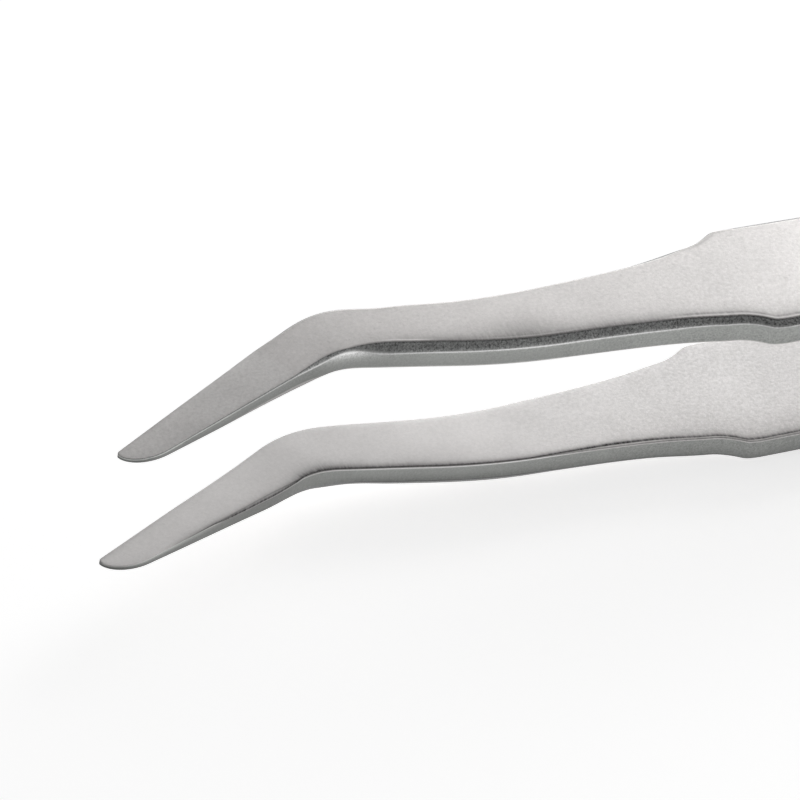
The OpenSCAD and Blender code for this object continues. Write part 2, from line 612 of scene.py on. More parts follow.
@dataclass(frozen=True)
class InnerTone:
    """Inner face: a painted dark line of shade just inside its near border, wide weak painted shades,
    and painted light and shade along it.
    """

    fold: Fold = Fold()
    line: float = 0.90
    line_climb: Climb = Climb(3.0, 6.0)
    line_place: float = 0.08
    line_reach: float = 0.19
    line_steep: float = 0.05
    spread: Course = Course(1.0, ((1.1, Hump(16.0, 2.4)), (-0.20, Climb(19.0, 4.0)),
                                  (-0.20, Climb(29.0, 5.0))))
    tip_pull: float = 0.6
    tip_steep: float = 0.02
    grip_climb: Climb = Climb(35.0, 4.0)
    grip_line_loss: float = 0.17
    core: float = 0.05
    core_climb: Climb = Climb(29.0, 5.0)
    grip_core_loss: float = 0.5
    shade: float = 0.32
    shade_reach: float = 1.2
    shade_bend: Hump = Hump(23.0, 4.0)
    shade_grip: Climb = Climb(31.0, 8.0)
    under: float = 0.07
    under_start: float = 0.06
    under_climb: Climb = Climb(0.0, 0.12)
    middle: Course = Course(0.0, ((0.09, Hump(24.5, 5.0)), (-0.10, Hump(14.0, 4.0)),
                                  (-0.07, Climb(36.0, 5.0))))

    def tone(self, leg: Leg, at: Spots) -> Array:
        """Factor on the steel's colour.

        Formula: one minus a strength times a lopsided bell curve, a painted dark
        line of shade where the border rolls off, steep towards the border and long
        towards the middle of the face, longest in the bend and shortest behind the
        neck, where it has a flat core; in two places a wide weak painted shade; an
        even painted shade over the tip's rounding on the upper leg, where it faces
        the table; and over the whole face a small change along it, painted light and shade.

        Args:
            leg: which leg.
            at: where the points lie.

        Returns:
            The factor at each point.
        """
        s = at.s
        past = self.fold.past(leg, at) - self.line_place * (1.0 - self.tip_pull * at.tip)
        core = self.core * self.core_climb.at(s) * (1.0 - self.grip_core_loss * self.grip_climb.at(s))
        # Painted dark line of shade where the near border rolls off
        inside = fade(past - core, self.line_reach * self.spread.at(s))
        outside = skirt(past + core, self.line_steep + self.tip_steep * at.tip)
        line = self.line * self.line_climb.at(s) * (
            1.0 - self.grip_line_loss * self.grip_climb.at(s)) * inside * outside
        # Wide weak painted shade in two places
        places = np.maximum(self.shade_bend.at(s), self.shade_grip.at(s))
        wide = self.shade * places * fade(past, self.shade_reach) * (past > 0.0)
        # Even painted shade over the tip's rounding on the upper leg, where it faces the table
        roll = self.under_climb.at(self.under_start - at.fold) * (at.fold > NOWHERE / 2.0) * at.tip
        under = self.under * roll * (leg is Leg.UPPER)
        # Painted light and shade along the face
        change = self.middle.at(s) * bell(at.height, 0.0, FACE_FADE)
        return (1.0 - line) * (1.0 - wide) * (1.0 - under) * (1.0 + change)


@dataclass(frozen=True)
class RimTone:
    """Painted shade along the far borders of both faces, a little darker."""

    outer: Course = Course(0.22, ((0.14, Hump(15.5, 1.6)),))
    outer_reach: Course = Course(0.08, ((0.06, Hump(15.5, 1.6)),))
    inner: Course = Course(0.36, ((-0.12, Climb(22.0, 6.0)),))
    inner_reach: Course = Course(0.18, ((-0.06, Climb(22.0, 6.0)),))

    def tone(self, at: Spots) -> Array:
        """Factor on the steel's colour, 1 away from the far borders.

        Formula: one minus a strength times the exponential of minus the distance
        over a reach; on the inner face both ramp down behind the bend, and on the
        outer face both swell in a bell curve there.

        Args:
            at: where the points lie.

        Returns:
            The factor at each point.
        """
        inside = at.depth >= at.height
        inwards = np.where(inside, at.far, np.maximum(0.0, at.far - at.wide))
        strength = np.where(inside, self.inner.at(at.s), self.outer.at(at.s))
        reach = np.where(inside, self.inner_reach.at(at.s), self.outer_reach.at(at.s))
        # Painted shade along the far borders
        return 1.0 - strength * fade(inwards, reach)


@dataclass(frozen=True)
class BevelTone:
    """Bevel: painted light towards its lower corner, along its upper border and at the tip, and
    painted shade where it faces the table.
    """

    lift: float = 1.00
    reach: Course = Course(0.10, ((-0.075, Climb(36.0, 4.0)),))
    steep: float = 0.02
    grip_loss: Course = Course(0.0, ((0.14, Climb(36.0, 4.0)),))
    top: float = 0.20
    top_across: Hump = Hump(0.06, 0.05)
    top_climb: Climb = Climb(17.0, 3.0)
    tip: float = 1.10
    tip_fall: Climb = Climb(4.5, 5.5)
    tip_depth: float = 0.12
    under: float = 0.55
    under_steep: float = 0.05

    def tone(self, leg: Leg, at: Spots) -> Array:
        """Factor on the steel's colour, 1 away from the bevel.

        Formula: one plus a lift of painted light times the exponential of minus the
        distance above the corner over a reach, less a small even loss on the grip,
        and times a steep bell curve below the corner; and plus a small painted lift,
        a bell curve, along the upper border and an even one at the tip; on the lower
        leg an even factor of painted shade over the bevel and its corner.

        Args:
            leg: which leg.
            at: where the points lie.

        Returns:
            The factor at each point.
        """
        above = at.tall - at.depth
        # On the lower leg, painted shade where the bevel faces the table
        if leg is Leg.LOWER:
            return 1.0 + (self.under - 1.0) * skirt(above, self.under_steep) * (1.0 - at.on_outer)
        # Painted light towards the lower corner, along the upper border and at the tip
        lift = self.lift * fade(above, self.reach.at(at.s)) - self.grip_loss.at(at.s)
        lift = lift * skirt(above, self.steep)
        lift = lift + self.top * self.top_across.at(at.depth) * self.top_climb.at(at.s)
        lift = lift + self.tip * self.tip_fall.left(at.s) * (at.depth < self.tip_depth)
        return 1.0 + lift * (1.0 - at.on_outer)


@dataclass(frozen=True)
class EdgeTone:
    """Edge of one leg, with painted shade darker downwards."""

    level: Course
    slant: Course
    power: int
    lift: float
    lift_fall: Climb = Climb(4.5, 4.5)
    lift_down: SoftClimb = SoftClimb(0.06, 0.52)
    nose: float = 0.4
    nose_climb: Climb = Climb(0.6, 1.4)

    def tone(self, leg: Leg, at: Spots) -> Array:
        """Factor on the steel's colour, 1 away from the edge.

        Formula: a level of painted light and shade along the leg times one minus a
        slant of painted shade times a power of the way down the edge; along the
        thin end the level is lifted by painted light in the edge's upper part, and
        at the nose painted shade makes it lower.

        Args:
            leg: which leg.
            at: where the points lie.

        Returns:
            The factor at each point.
        """
        fall = at.fall(leg)
        # Painted light in the edge's upper part along the thin end, painted shade downwards and at the
        # nose
        lift = self.lift * self.lift_fall.left(at.s) * self.lift_down.left(fall)
        nose = 1.0 - self.nose * self.nose_climb.left(at.s)
        slant = 1.0 - self.slant.at(at.s) * fall ** self.power
        factor = self.level.at(at.s) * (1.0 + lift) * slant * nose
        return 1.0 + (factor - 1.0) * at.on_edge


@dataclass(frozen=True)
class CornerHighlights:
    """Painted highlights along the corners."""

    corner: Course = Course(0.12, ((0.28, Climb(5.0, 6.0)), (0.17, Climb(21.0, 6.0)),
                                   (0.25, Hump(30.0, 6.0))))
    corner_reach: Course = Course(0.06, ((-0.021, Climb(36.0, 4.0)),))
    lens: float = 1.10
    lens_along: Hump = Hump(16.6, 1.65)
    lens_place: float = 0.02
    lens_up: float = 0.10
    lens_down: float = 0.28
    fold: Fold = Fold()
    inner: Course = Course(0.02, ((0.42, Climb(13.0, 7.0)), (0.30, Hump(29.0, 3.0)),
                                  (-0.28, Climb(31.0, 3.0))))
    inner_place: Course = Course(0.05, ((0.07, Climb(29.0, 5.0)),))
    inner_reach: float = 0.045

    def share(self, leg: Leg, at: Spots) -> Array:
        """Share of the painted highlight's bright colour.

        Formula: a thin bell curve of painted highlight along the corner between
        bevel and edge, a taller lopsided one in the bend, and a thin one along the inner face's near
        corner.

        Args:
            leg: which leg.
            at: where the points lie.

        Returns:
            The share at each point, from 0 to 1.
        """
        # Painted highlight along the corner between bevel and edge, and a lens of it in the bend
        below = at.depth - at.tall
        line = self.corner.at(at.s) * bell(below, 0.0, self.corner_reach.at(at.s))
        over = below - self.lens_place
        lens = self.lens * self.lens_along.at(at.s) * (
            skirt(over, self.lens_up) * fade(over, self.lens_down))
        upper = np.maximum(line, lens) * (leg is Leg.UPPER)
        past = self.fold.past(leg, at) + self.inner_place.at(at.s)
        inner = self.inner.at(at.s) * bell(past, 0.0, self.inner_reach)
        return np.clip(np.maximum(upper, inner), 0.0, 1.0)


@dataclass(frozen=True)
class PaintedLightAndGrain:
    """Painted light and shade on the steel, and the strength of its grain."""

    outer: OuterTone = OuterTone()
    inner: InnerTone = InnerTone()
    rim: RimTone = RimTone()
    bevel: BevelTone = BevelTone()
    # Painted light and shade on the edges, darker on the lower leg, which lies nearer the table
    upper_edge: EdgeTone = EdgeTone(
        level=Course(0.75, ((0.05, Climb(4.0, 6.0)), (0.20, Climb(17.5, 4.5)),
                            (0.05, Climb(24.0, 12.0)))),
        slant=Course(0.12, ((0.06, Hump(25.0, 6.0)),)), power=1, lift=0.0)
    lower_edge: EdgeTone = EdgeTone(
        level=Course(0.62, ((0.28, Climb(12.0, 7.0)), (-0.05, Climb(35.0, 4.0)))),
        slant=Course(0.10, ((0.39, Climb(15.0, 4.0)), (-0.13, Climb(26.0, 8.0)))),
        power=2, lift=1.0)
    worn: CornerHighlights = CornerHighlights()
    inner_grain: Course = Course(0.6, ((0.9, Climb(27.0, 11.0)),))
    outer_grain: Course = Course(0.9, ((0.3, Climb(27.0, 11.0)),))

    def tone(self, leg: Leg, at: Spots) -> Array:
        """Factor on the steel's colour: the product of the painted light and shade of all its places.
        """
        edge = self.upper_edge if leg is Leg.UPPER else self.lower_edge
        return (self.outer.tone(at) * self.inner.tone(leg, at) * self.rim.tone(at)
                * self.bevel.tone(leg, at) * edge.tone(leg, at))

    def grain(self, at: Spots) -> Array:
        """Strength of the grain, coarser on the grip than on the neck."""
        return np.where(at.height < at.depth, self.inner_grain.at(at.s), self.outer_grain.at(at.s))


@dataclass(frozen=True)
class RestPose:
    """How the tweezers lie: pitched on the lower leg's belly and the tail."""

    pitch: float = 2.87957
    origin: tuple[float, float, float] = (59.5210, -0.110249, -7.60571)

    def place(self, points: Array) -> Array:
        """Rows of positions in millimetres, turned, moved to the frame and in metres."""
        return (self.turn(points) - np.array(self.origin)) * MM

    def turn(self, points: Array) -> Array:
        """Rows of positions or directions, turned about Y by the pitch."""
        c, s = np.cos(np.radians(self.pitch)), np.sin(np.radians(self.pitch))
        return points @ np.array([[c, 0.0, -s], [0.0, 1.0, 0.0], [s, 0.0, c]])


class Wire:
    """A float socket that takes part in Python arithmetic."""

    def __init__(self, graph: "Graph", socket: Any) -> None:
        """Keep the graph and the socket."""
        self.graph, self.socket = graph, socket

    def _math(self, operation: str, a: Any, b: Any) -> "Wire":
        """Add one Math node on two values or wires."""
        return self.graph.node("ShaderNodeMath", {"operation": operation}, {0: a, 1: b})

    def __add__(self, other: Any) -> "Wire":
        """Sum."""
        return self._math("ADD", self, other)

    __radd__ = __add__

    def __sub__(self, other: Any) -> "Wire":
        """Difference."""
        return self._math("SUBTRACT", self, other)

    def __rsub__(self, other: Any) -> "Wire":
        """Reflected difference."""
        return self._math("SUBTRACT", other, self)

    def __mul__(self, other: Any) -> "Wire":
        """Product."""
        return self._math("MULTIPLY", self, other)

    __rmul__ = __mul__

    def clamped(self) -> "Wire":
        """Limit to 0 and 1."""
        return self.graph.node("ShaderNodeClamp", {}, {0: self})

    def between(self, low: float, high: float) -> "Wire":
        """Smooth step from 0 at low to 1 at high."""
        return self.graph.node("ShaderNodeMapRange", {"interpolation_type": "SMOOTHSTEP"},
                               {0: self, 1: low, 2: high})


Link = Union[Wire, float, Sequence[float]]


@dataclass(frozen=True)
class Cells:
    """Noise by its cells' size, its octaves and the weight of the finer ones."""

    size: float
    octaves: float = 2.0
    weight: float = 0.5


class Graph:
    """A node tree of a material or world, with one method for every kind of node."""

    def __init__(self, name: str, kind: Tree = Tree.MATERIAL) -> None:
        """Start an empty material or world.

        Args:
            name: what it is called.
            kind: which of the two it is.
        """
        listing, self.end = kind.value
        self.owner = getattr(bpy.data, listing).new(name)
        self.owner.use_nodes = True
        self.tree = self.owner.node_tree
        self.tree.nodes.clear()

    def node(self, kind: str, settings: dict[str, Any], inputs: dict[Any, Any],
             output: Union[int, str] = 0) -> Wire:
        """Add one node.

        Args:
            kind: the node's type.
            settings: attributes, set before the inputs.
            inputs: values or wires by socket name or number.
            output: the socket that is handed back.

        Returns:
            The chosen output as a wire.
        """
        node = self.tree.nodes.new(kind)
        for key, value in settings.items():
            setattr(node, key, value)
        for key, value in inputs.items():
            if isinstance(value, Wire):
                self.tree.links.new(value.socket, node.inputs[key])
            else:
                node.inputs[key].default_value = value
        return Wire(self, node.outputs[output])

    def blend(self, factor: Link, a: Link, b: Link) -> Wire:
        """Mix of two colours, by the share of the second one."""
        four = [v if isinstance(v, Wire) else (*v, 1.0) for v in (a, b)]
        return self.node("ShaderNodeMix", {"data_type": "RGBA", "blend_type": "MIX"},
                         {0: factor, 6: four[0], 7: four[1]}, 2)

    def noise(self, vector: Wire, cells: Cells) -> Wire:
        """Noise between 0 and 1, read at a vector."""
        return self.node("ShaderNodeTexNoise", {"noise_dimensions": "3D"},
                         {"Vector": vector, "Scale": 1.0 / cells.size, "Detail": cells.octaves,
                          "Roughness": cells.weight})

    def place(self) -> Wire:
        """Object coordinates, brought to millimetres."""
        return self.scaled(self.node("ShaderNodeTexCoord", {}, {}, "Object"), 1.0 / MM)

    def painted(self, name: str) -> Wire:
        """Value that the mesh carries under a name."""
        return self.node("ShaderNodeAttribute", {"attribute_name": name}, {}, "Fac")

    def scaled(self, vector: Wire, factor: Link) -> Wire:
        """Colour or vector times a value."""
        return self.node("ShaderNodeVectorMath", {"operation": "SCALE"}, {0: vector, 3: factor})

    def along(self, stretch: Sequence[float]) -> Wire:
        """Distance along and around the leg in millimetres, times a stretch of three factors."""
        lay = self.node("ShaderNodeUVMap", {"uv_map": LegSkin.UV}, {})
        return self.node("ShaderNodeVectorMath", {"operation": "MULTIPLY"}, {0: lay, 1: stretch})

    def seen(self) -> Wire:
        """1 for rays from the camera and for those mirrored or let through, else 0."""
        return sum(self.node("ShaderNodeLightPath", {}, {}, f"Is {kind} Ray")
                   for kind in ("Camera", "Glossy", "Transmission")).clamped()

    def finish(self, shader: Wire) -> Any:
        """Join the shader to the output.

        Args:
            shader: the surface or background shader.

        Returns:
            The finished material or world.
        """
        out = self.tree.nodes.new(self.end)
        self.tree.links.new(shader.socket, out.inputs["Surface"])
        return self.owner


@dataclass(frozen=True)
class Steel:
    """One finish of the steel: a tone, a polish and the marks of its working."""

    name: str
    tone: Colour
    dark: Colour
    roughness: float
    grain: Cells = Cells(0.22, 4.0, 0.8)
    grain_tone: float = 2.0
    grain_depth: float = 0.006
    grain_polish: float = 0.08
    highlight_grain: float = 4.0
    cloud: Cells = Cells(2.4, 2.0, 0.4)
    cloud_tone: float = 0.35
    cloud_polish: float = 0.10
    mark: Cells = Cells(1.0, 2.0, 0.6)
    mark_size: tuple[float, float] = (0.16, 0.9)
    mark_tone: float = 0.0
    mark_depth: float = 0.0
    ragged: float = 0.8
    speck: Cells = Cells(1.0 / 2.3)
    speck_step: tuple[float, float] = (0.68, 0.76)
    speck_tone: float = 0.0

    # Colour of the painted highlight
    BRIGHT: ClassVar[Colour] = (0.88, 0.88, 0.87)
    # Roughness where the painted highlight is full
    POLISH: ClassVar[float] = 0.30

    def build(self) -> bpy.types.Material:
        """Make the material.

        The grain is fine noise on object coordinates, the clouds are coarse noise,
        and the working marks are noise stretched along or across the leg.  All three
        tint the steel, as specks do where a finish has them.  Grain and marks drive
        one bump, and grain and clouds vary the roughness a little.  The painted light
        and shade that the mesh carries darken or lighten the steel, the painted
        highlight blends in a bright colour and a lower roughness, and the marks make both ragged.

        Returns:
            The material.
        """
        g = Graph(self.name)
        spot = g.place()
        grain = (g.noise(spot, self.grain) - 0.5) * g.painted(LegSkin.GRAIN)
        cloud = g.noise(spot, self.cloud) - 0.5
        stretch = (1.0 / self.mark_size[0], 1.0 / self.mark_size[1], 0.0)
        marks = g.noise(g.along(stretch), self.mark) - 0.5
        mix = grain * self.grain_tone + cloud * self.cloud_tone + marks * self.mark_tone
        if self.speck_tone > 0.0:
            mix = mix - g.noise(spot, self.speck).between(*self.speck_step) * self.speck_tone
        # Painted light and shade that the mesh carries, made ragged by the marks
        loss = (1.0 - g.painted(LegSkin.PAINTED_LIGHT)) * (1.0 + marks * self.ragged)
        colour = g.scaled(g.blend((mix + 0.5).clamped(), self.dark, self.tone), 1.0 - loss)
        # Painted highlight: a blend towards the bright colour and a lower roughness
        rough_edge = 1.0 + (marks + grain * self.highlight_grain) * self.ragged
        worn = (g.painted(LegSkin.HIGHLIGHT_SHARE) * rough_edge).clamped()
        colour = g.blend(worn, colour, self.BRIGHT)
        polish = (self.roughness + cloud * self.cloud_polish + grain * self.grain_polish
                  - worn * (self.roughness - self.POLISH))
        height = grain * self.grain_depth + marks * self.mark_depth
        bump = g.node("ShaderNodeBump", {}, {"Height": height, "Distance": MM,
                                             "Strength": 1.0}, "Normal")
        shader = g.node("ShaderNodeBsdfPrincipled", {}, {
            "Base Color": colour, "Metallic": 1.0, "Roughness": polish, "Normal": bump})
        return g.finish(shader)


BLASTED = Steel(
    name="blasted_face_steel", tone=(0.715, 0.695, 0.684), dark=(0.530, 0.515, 0.508),
    roughness=0.42, speck_tone=0.35)
INSIDE = Steel(
    name="inner_face_steel", tone=(0.715, 0.698, 0.690), dark=(0.530, 0.517, 0.511),
    roughness=0.40)
# Painted shade: the bevel's steel is darker than the faces' for the dark that the bevel reflects
SHADED_GROUND = Steel(
    name="shaded_ground_bevel_steel", tone=(0.48, 0.485, 0.48), dark=(0.12, 0.122, 0.12),
    roughness=0.40, grain=Cells(0.12, 4.0, 0.8), grain_tone=3.8, grain_depth=0.008,
    cloud_tone=0.15, mark_size=(0.12, 1.2), mark_tone=0.6, mark_depth=0.003)
# Painted shade: the corner's and edges' steel is darker than the faces' for what they reflect
SHADED_CORNER = Steel(
    name="shaded_corner_steel", tone=(0.43, 0.435, 0.43), dark=(0.25, 0.253, 0.25),
    roughness=0.36, grain=Cells(0.12, 4.0, 0.8), mark_size=(4.0, 0.10), mark_tone=0.35,
    mark_depth=0.002)
SHADED_SHEARED = replace(
    SHADED_CORNER, name="shaded_sheared_edge_steel", tone=(0.43, 0.44, 0.425), dark=(0.25, 0.256, 0.247))


@dataclass
class LegSkin:
    """The closed skin of one leg, carried along its centre line."""

    outline: Outline = field(default_factory=Outline)
    side: SideView = field(default_factory=SideView)
    work: EdgeWork = field(default_factory=EdgeWork)
    pose: RestPose = field(default_factory=RestPose)
    light_and_grain: PaintedLightAndGrain = field(default_factory=PaintedLightAndGrain)
    step: float = 0.2
    end_steps: int = 14
    first_angle: float = 6.0
    nose_room: float = 0.5
    fillet_steps: int = 7
    bottom_steps: int = 14
    corner_steps: int = 9
    edge_columns: int = 9
    bevel_columns: int = 5
    face_columns: int = 31
    rim_columns: int = 12
    rim_step: float = 0.02
    rim_growth: float = 1.22
    rim_room: float = 2.4

    UV: ClassVar[str] = "lay"
    # Mesh attribute of painted light and shade
    PAINTED_LIGHT: ClassVar[str] = "tone"
    # Mesh attribute of the painted highlight's share
    HIGHLIGHT_SHARE: ClassVar[str] = "painted_highlight"
    GRAIN: ClassVar[str] = "grain"

    def stations(self) -> Array:
        """Distances of the sections, equal in angle round both ends.

        Formula: at each end its length times one minus the cosine of an angle that
        grows evenly up to a quarter turn, and even steps between the ends.

        Returns:
            The distances from the tip end.
        """
        angle = np.radians(np.linspace(self.first_angle, 90.0, self.end_steps))
        tip = self.outline.nose_length * (1.0 - np.cos(angle))
        tail = self.outline.length - self.outline.tail_width / 2.0 * (1.0 - np.cos(angle[::-1]))
        count = int(np.ceil((tail[0] - tip[-1]) / self.step))
        return np.concatenate([tip[:-1], np.linspace(tip[-1], tail[0], count), tail[1:]])

    def centre_line(self, s: Array) -> Array:
        """Plan position of the centre line, with its tail on the long axis.

        Formula: the running sum of step times the cosine and sine of the heading,
        by the trapezium rule.

        Args:
            s: distances from the tip end.

        Returns:
            Rows of x and y.
        """
        heading = self.outline.heading(s)
        direction = np.stack([np.cos(heading), np.sin(heading)], axis=1)
        mean = (direction[1:] + direction[:-1]) / 2.0 * np.diff(s)[:, None]
        start = direction[:1] * s[0]
        path = np.concatenate([start, start + np.cumsum(mean, axis=0)])
        path[:, 1] -= path[-1, 1]
        return path

    def rims(self, s: Array) -> tuple[Array, Array]:
        """Outline points and outward directions on both sides.

        Formula: the centre line plus each side's offset across it; outward is the
        outline's own direction turned a quarter turn.

        Args:
            s: distances from the tip end.

        Returns:
            Two arrays of shape (2, stations, 2), for the sides -Y and +Y.
        """
        heading = self.outline.heading(s)
        across = np.stack([-np.sin(heading), np.cos(heading)], axis=1)
        rim = self.centre_line(s) + self.outline.offsets(s)[:, :, None] * across
        before = np.concatenate([rim[::-1, :1], rim[:, :-1]], axis=1)
        after = np.concatenate([rim[:, 1:], rim[::-1, -1:]], axis=1)
        along = after - before
        along /= np.linalg.norm(along, axis=2, keepdims=True)
        turned = np.stack([-along[..., 1], along[..., 0]], axis=2)
        return rim, turned * np.array([-1.0, 1.0])[:, None, None]

    def section(self, s: Array) -> tuple[Array, Array, list[Band]]:
        """Half section from the inner face to the outer face.

        Formula: three corners, each rounded by a quadratic curve between points
        set back along its two sides, in distance inwards from the rim and height
        above the inner face.  The distances shrink where the nose is narrow.

        Args:
            s: distances from the tip end.

        Returns:
            Distances inwards and heights, both of shape (stations, points), and the
            band of the strip that ends at each point after the first.
        """
        w, t = self.work, self.side.steel(s)
        bevel_h, bevel_w = w.bevel(s, t, self.outline.shoulder)
        slope = np.hypot(bevel_h, bevel_w)
        zero = np.zeros_like(s)
        inner = np.stack([zero, zero], axis=1)
        lower = np.stack([zero, t - bevel_h], axis=1)
        upper = np.stack([bevel_w, t], axis=1)
        first = np.stack([zero + 1.0, zero], axis=1)
        last = np.stack([bevel_w + 1.0, t], axis=1)
        drop, spread = w.inner_corner(s, t)
        top = np.minimum(w.top_round, slope * w.round_share)
        down, up = w.corner(s, slope)
        bottom = self.fillet(first, inner, lower, spread, drop, self.bottom_steps)
        middle = self.fillet(inner, lower, upper, down, np.minimum(up, slope - top),
                             self.corner_steps)
        crown = self.fillet(lower, upper, last, top, top, self.fillet_steps)
        d, z = np.concatenate([
            bottom, self.between(bottom, middle, self.edge_columns), middle,
            self.between(middle, crown, self.bevel_columns), crown], axis=1).transpose(2, 0, 1)
        near, far = self.outline.offsets(s)
        d = d * np.minimum(1.0, (far - near) / self.nose_room)[:, None]
        crown_strips = self.fillet_steps - 1
        bands = ([Band.INNER_FACE] * (self.bottom_steps - 1) + [Band.EDGE] * (self.edge_columns + 1)
                 + [Band.CORNER] * (self.corner_steps - 1)
                 + [Band.BEVEL] * (self.bevel_columns + 1 + crown_strips // 2)
                 + [Band.OUTER_FACE] * (crown_strips - crown_strips // 2))
        return d, z, bands

    @staticmethod
    def between(before: Array, after: Array, count: int) -> Array:
        """Straight run between two corners, in equal angles of a half circle from the side."""
        u = (1.0 - np.cos(np.linspace(0.0, np.pi, count + 2)[None, 1:-1, None])) / 2.0
        return before[:, -1:] * (1.0 - u) + after[:, :1] * u

    @staticmethod
    def fillet(a: Array, corner: Array, b: Array, back: Array, on: Array, steps: int) -> Array:
        """Round one corner of the section.

        Formula: a quadratic curve from the point a trim back towards a, to the
        point another trim on towards b, pulled to the corner.

        Args:
            a: point before the corner, for each station.
            corner: the corner.
            b: point after it.
            back: distance from the corner at which the curve starts.
            on: distance from the corner at which it ends.
            steps: number of points on the curve.

        Returns:
            Points of shape (stations, steps, 2).
        """
        def towards(p: Array, trim: Array) -> Array:
            """Corner moved by a trim towards p."""
            unit = (p - corner) / np.linalg.norm(p - corner, axis=1, keepdims=True)
            return (corner + unit * trim[:, None])[:, None]

        u = np.linspace(0.0, 1.0, steps)[None, :, None]
        return ((1 - u) ** 2 * towards(a, back) + 2 * u * (1 - u) * corner[:, None]
                + u ** 2 * towards(b, on))

    def shares(self, width: Array) -> Array:
        """Where the columns of a face stand between its two borders.

        Formula: from each border the rim columns, at distances that grow by a
        constant factor and shrink where the face is narrow, and the rest evenly.

        Args:
            width: the face's width at each station.

        Returns:
            Shares of the width, of shape (stations, columns).
        """
        steps = np.cumsum(self.rim_step * self.rim_growth ** np.arange(self.rim_columns))
        fit = np.minimum(1.0, width / (self.rim_room * steps[-1])) / width
        rim = steps * fit[:, None]
        u = np.linspace(0.0, 1.0, self.face_columns - 2 * self.rim_columns + 2)[1:-1]
        start = rim[:, -1:]
        return np.concatenate([rim, start + (1.0 - 2.0 * start) * u, 1.0 - rim[:, ::-1]], axis=1)

    def grid(self, leg: Leg) -> tuple[Array, Array, list[Band], Spots]:
        """Points of the whole skin as a grid of stations by columns.

        Formula: the half section is set on each rim, and each face between is a
        straight line from rim to rim; the faces then roll off by a depth times
        the exponential of minus the distance from the rim over a reach, and less
        where the steel is thinner than a millimetre.

        Args:
            leg: which leg.

        Returns:
            The points in metres, their lay coordinates, the band of each column
            and where the points lie in their sections.
        """
        s = self.stations()
        d, z, bands = self.section(s)
        rim, outward = self.rims(s)
        inset = d * self.work.inset_scale(s)
        plan = rim[:, :, None, :] - inset[..., None] * outward[:, :, None, :]
        near, far = plan
        share = self.shares(np.linalg.norm(far[:, -1] - near[:, -1], axis=1))[:, :, None]
        outer = near[:, -1:] * (1 - share) + far[:, -1:] * share
        inner = far[:, :1] * (1 - share) + near[:, :1] * share
        loop = np.concatenate([near, outer, far[:, ::-1], inner], axis=1)
        near_d, far_d = np.linalg.norm(loop[None] - rim[:, :, None], axis=3)
        flat = np.ones((len(s), self.face_columns))
        height = np.concatenate([z, z[:, -1:] * flat, z[:, ::-1], 0.0 * flat], axis=1)
        t = self.side.steel(s)[:, None]
        tall, wide = self.work.bevel(s, t[:, 0], self.outline.shoulder)
        drop, _ = self.work.inner_corner(s, t[:, 0])
        at = Spots(s=s[:, None], near=near_d, far=far_d, height=height, depth=t - height,
                   tall=tall[:, None], wide=wide[:, None], drop=drop[:, None],
                   tip=self.work.tip_share(s)[:, None])
        sink = self.work.roll_depth * fade(np.minimum(near_d, far_d), self.work.roll_reach)
        lift = height + sink * (1.0 - 2.0 * height / t) * np.minimum(1.0, t)
        overall = self.centre_line(s)[-1, 0]
        stand = self.side.inner(loop[..., 0], overall) + lift
        points = np.dstack([loop, leg.value * stand])
        girth = np.cumsum(np.linalg.norm(np.diff(points, axis=1, prepend=points[:, :1]), axis=2), 1)
        lay = np.dstack([np.broadcast_to(s[:, None], girth.shape), girth])
        columns = ([Band.OUTER_FACE] * (self.face_columns + 1) + bands[::-1]
                   + [Band.INNER_FACE] * (self.face_columns + 1))
        return self.pose.place(points), lay, bands + columns, at

    def build(self, leg: Leg, finishes: dict[Band, bpy.types.Material]) -> bpy.types.Object:
        """Write one leg's mesh.

        Args:
            leg: which leg.
            finishes: the material of each band.

        Returns:
            The leg's object.
        """
        points, lay, bands, at = self.grid(leg)
        rows, columns = points.shape[:2]
        index = np.arange(rows * columns).reshape(rows, columns)
        right = np.roll(index, -1, axis=1)
        quads = np.stack([index[:-1], right[:-1], right[1:], index[1:]], axis=2).reshape(-1, 4)
        flat = points.reshape(-1, 3)
        faces = quads.tolist() + [f[::-1] for f in self.cap(index[0])] + self.cap(index[-1])
        if self.volume(flat[quads]) < 0.0:
            faces = [f[::-1] for f in faces]
        mesh = bpy.data.meshes.new(f"{leg.name.lower()}_leg_skin")
        mesh.from_pydata(flat.tolist(), [], faces)
        layer = mesh.uv_layers.new(name=self.UV)
        layer.data.foreach_set(
            "uv", lay.reshape(-1, 2)[np.concatenate(faces)].ravel().astype(np.float32))
        # Painted light and shade, the painted highlight's share and the grain's strength at each point
        for name, value in ((self.PAINTED_LIGHT, self.light_and_grain.tone(leg, at)),
                            (self.HIGHLIGHT_SHARE, self.light_and_grain.worn.share(leg, at)),
                            (self.GRAIN, self.light_and_grain.grain(at))):
            paint = mesh.attributes.new(name, "FLOAT", "POINT")
            paint.data.foreach_set("value", value.ravel().astype(np.float32))
        for band in Band:
            mesh.materials.append(finishes[band])
        owner = np.array([band.value for band in bands])
        material = np.concatenate([np.tile(owner, rows - 1),
                                   np.full(len(faces) - len(quads), Band.EDGE.value)])
        mesh.polygons.foreach_set("material_index", material.astype(np.int32))
        mesh.polygons.foreach_set("use_smooth", np.ones(len(faces), dtype=bool))
        mesh.update()
        skin = bpy.data.objects.new(f"{leg.name.lower()}_leg_steel", mesh)
        bpy.context.collection.objects.link(skin)
        LOG.info("%s: %d faces", skin.name, len(faces))
        return skin

    @staticmethod
    def volume(corner: Array) -> float:
        """Six times the enclosed volume: each triangle's a times the cross product of its sides."""
        a, b, c, d = corner.transpose(1, 0, 2)
        return float(np.einsum("ij,ij->", a, np.cross(b - a, c - a) + np.cross(c - a, d - a)))

